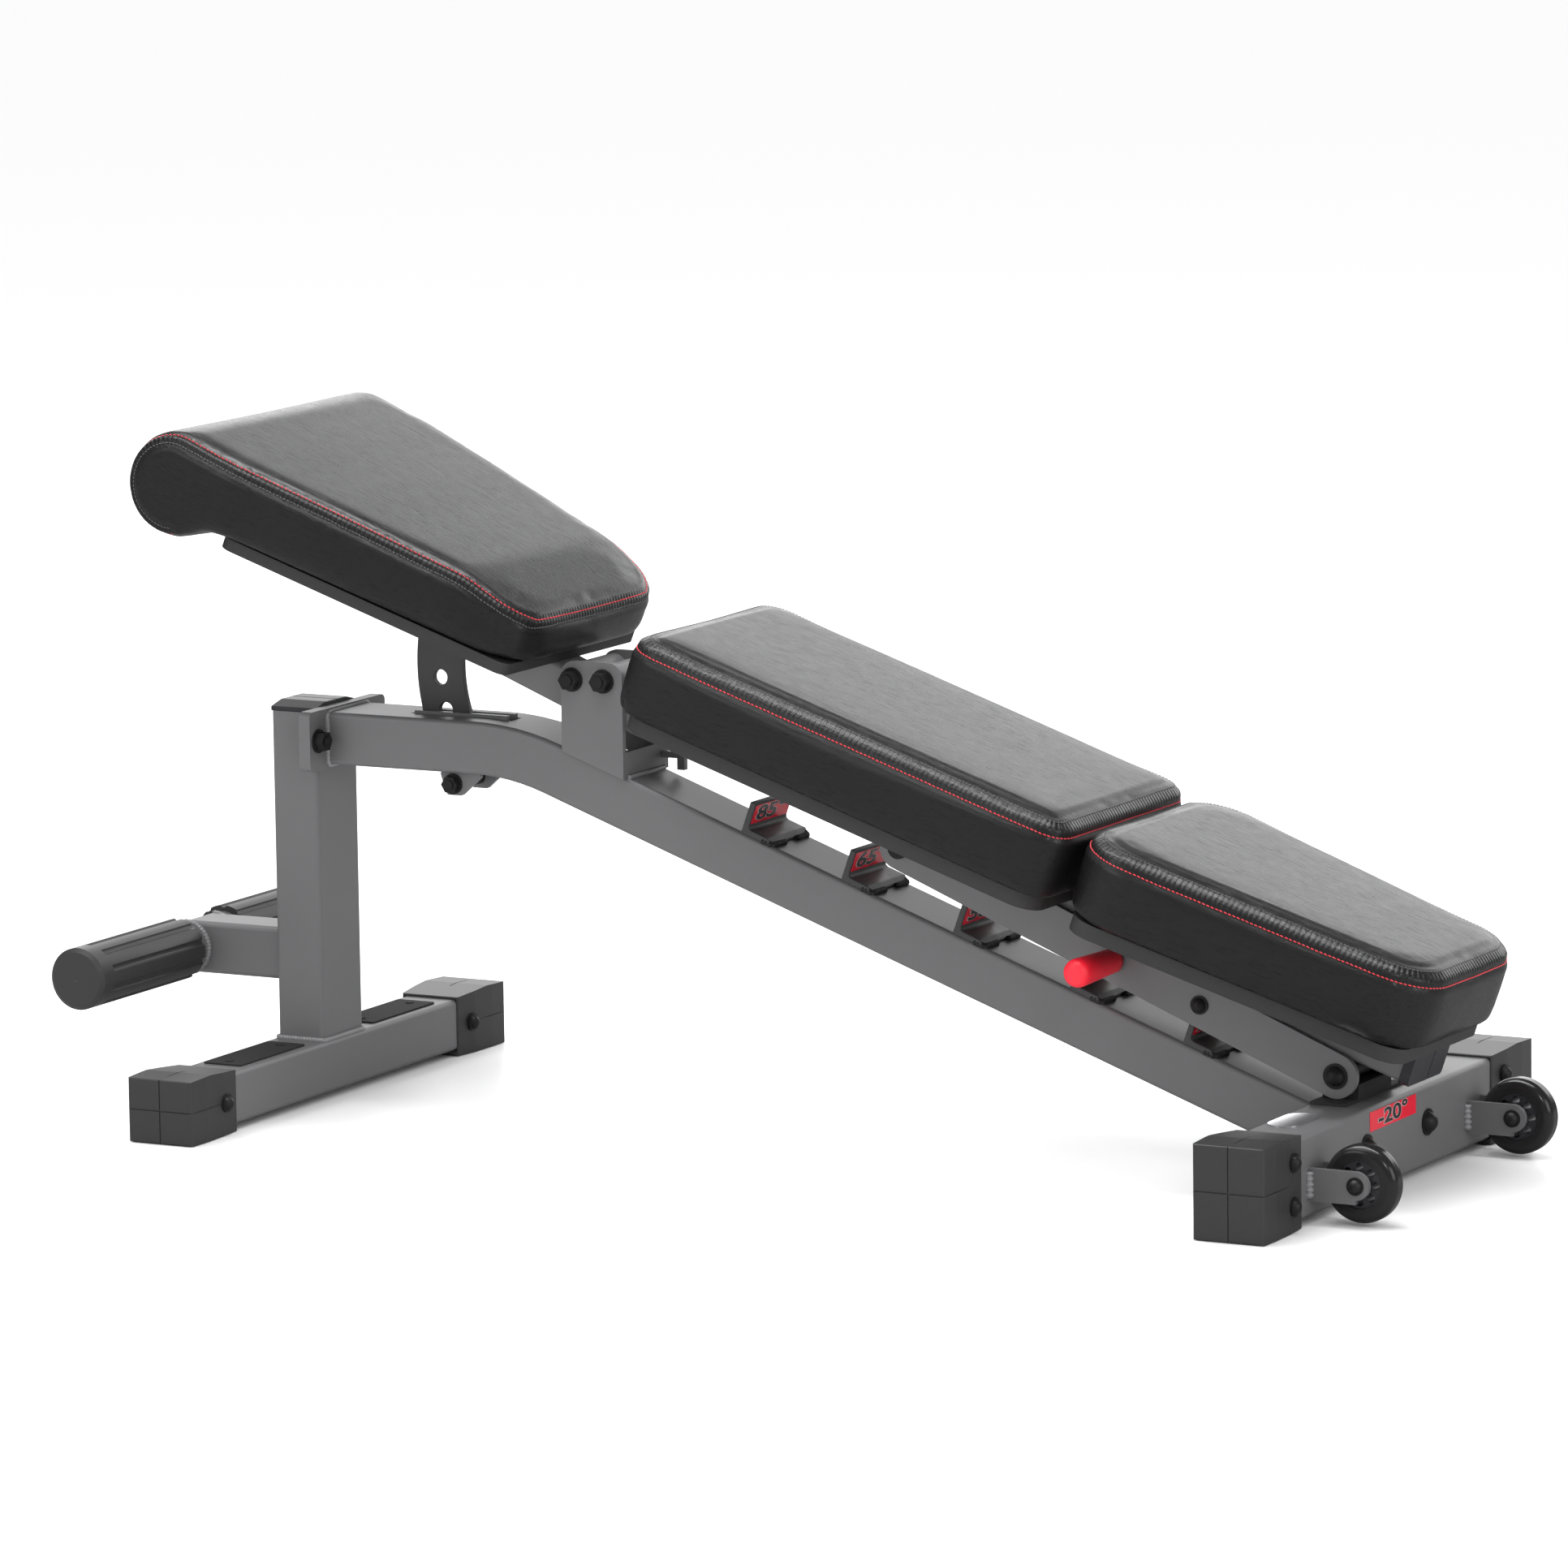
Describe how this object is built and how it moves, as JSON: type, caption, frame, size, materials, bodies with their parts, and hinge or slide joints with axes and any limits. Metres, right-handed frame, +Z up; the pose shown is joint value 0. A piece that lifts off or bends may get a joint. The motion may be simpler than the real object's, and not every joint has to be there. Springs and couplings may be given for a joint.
{
  "type": "adjustable sit-up bench",
  "caption": "Adjustable incline and decline bench with a hinged backrest on a ladder strut, a tilting seat, an ankle hold and transport wheels.",
  "frame": {"origin": "on the floor at the middle of the bench's length and width", "axes": "+X from the ankle hold towards the wheels, +Y to the left of someone facing +X, +Z up"},
  "size_m": [1.392, 0.594, 0.6615],
  "materials": {
    "frame_paint": "satin metallic grey powder coat",
    "black_rubber": "satin",
    "black_steel": "gloss black oxide",
    "black_plastic": "satin",
    "grip_tape": "gritty",
    "black_vinyl": "glossy grained upholstery vinyl",
    "board": "black painted plywood",
    "tyre": "gloss",
    "label_red": "gloss",
    "badge_chrome": "polished",
    "red_rubber": "satin",
    "zinc_steel": "satin"
  },
  "bodies": {
    "frame": {"main_beam": "frame_paint", "beam_flanges": "frame_paint", "post_flange": "frame_paint", "front_post": "frame_paint", "post_cap": "black_plastic", "front_base_tube": "frame_paint", "rear_base_tube": "frame_paint", "foot_cap_front_right": "black_rubber", "foot_cap_front_left": "black_rubber", "foot_cap_rear_right": "black_rubber", "foot_cap_rear_left": "black_rubber", "foot_cap_bolts": "black_steel", "tread_plate_right": "grip_tape", "tread_plate_left": "grip_tape", "foothold_tube": "frame_paint", "foothold_crossbar": "frame_paint", "foothold_grip_right": "black_rubber", "foothold_grip_left": "black_rubber", "frame_bolts": "black_steel", "arc_guides": "frame_paint", "tower_plate_right": "frame_paint", "tower_plate_left": "frame_paint", "tower_brace": "frame_paint", "pivot_bolts": "black_steel", "catch_85": "frame_paint", "catch_65": "frame_paint", "catch_50": "frame_paint", "catch_35": "frame_paint", "catch_20": "frame_paint", "angle_labels": "label_red", "rear_rest": "grip_tape", "badge_plate": "badge_chrome", "wheel_forks": "frame_paint", "wheel_axles": "black_steel", "lock_housing": "frame_paint"},
    "backrest": {"back_tube": "frame_paint", "back_sleeve": "frame_paint", "back_end_cap": "black_plastic", "mid_board": "board", "mid_pad": "black_vinyl", "mid_pad_heel": "black_vinyl", "head_board": "board", "head_pad": "black_vinyl", "strut_pivot_bolt": "black_steel"},
    "strut": {"strut_arm_right": "frame_paint", "strut_arm_left": "frame_paint", "strut_bars": "black_steel", "handle_rod": "frame_paint", "handle_grip": "red_rubber"},
    "seat": {"seat_tube": "frame_paint", "seat_sleeve": "frame_paint", "arc_plate": "frame_paint", "seat_board": "board", "seat_pad": "black_vinyl"},
    "wheel_right": {"tyre_right": "tyre", "hub_right": "black_plastic"},
    "wheel_left": {"tyre_left": "tyre", "hub_left": "black_plastic"},
    "lock_pin": {"lock_pin": "zinc_steel", "lock_knob": "black_plastic"}
  },
  "joints": [
    {"name": "backrest_tilt", "type": "hinge", "parent": "frame", "child": "backrest", "pos_m": [-0.1859, 0, 0.426], "axis": [0, -1, 0], "range_deg": [0, 103.8], "deforming": ["mid_pad_heel"]},
    {"name": "strut_swing", "type": "hinge", "parent": "backrest", "child": "strut", "pos_m": [0.12768, 0, 0.28778], "axis": [0, -1, 0], "range_deg": [-159, 0]},
    {"name": "seat_tilt", "type": "hinge", "parent": "frame", "child": "seat", "pos_m": [-0.2193, 0, 0.426], "axis": [0, 1, 0], "range_deg": [-22, 0]},
    {"name": "wheel_right_spin", "type": "hinge", "parent": "frame", "child": "wheel_right", "pos_m": [0.658, -0.174, 0.038], "axis": [0, 1, 0], "continuous": true},
    {"name": "wheel_left_spin", "type": "hinge", "parent": "frame", "child": "wheel_left", "pos_m": [0.658, 0.174, 0.038], "axis": [0, 1, 0], "continuous": true},
    {"name": "lock_pull", "type": "slide", "parent": "frame", "child": "lock_pin", "axis": [0, 1, 0], "range_m": [0, 0.014], "stiffness_N_per_m": 600, "springref_m": -0.004}
  ],
  "couplings": [
    {"joint": "strut_swing", "follows": "backrest_tilt", "ratio": -1.5274}
  ]
}
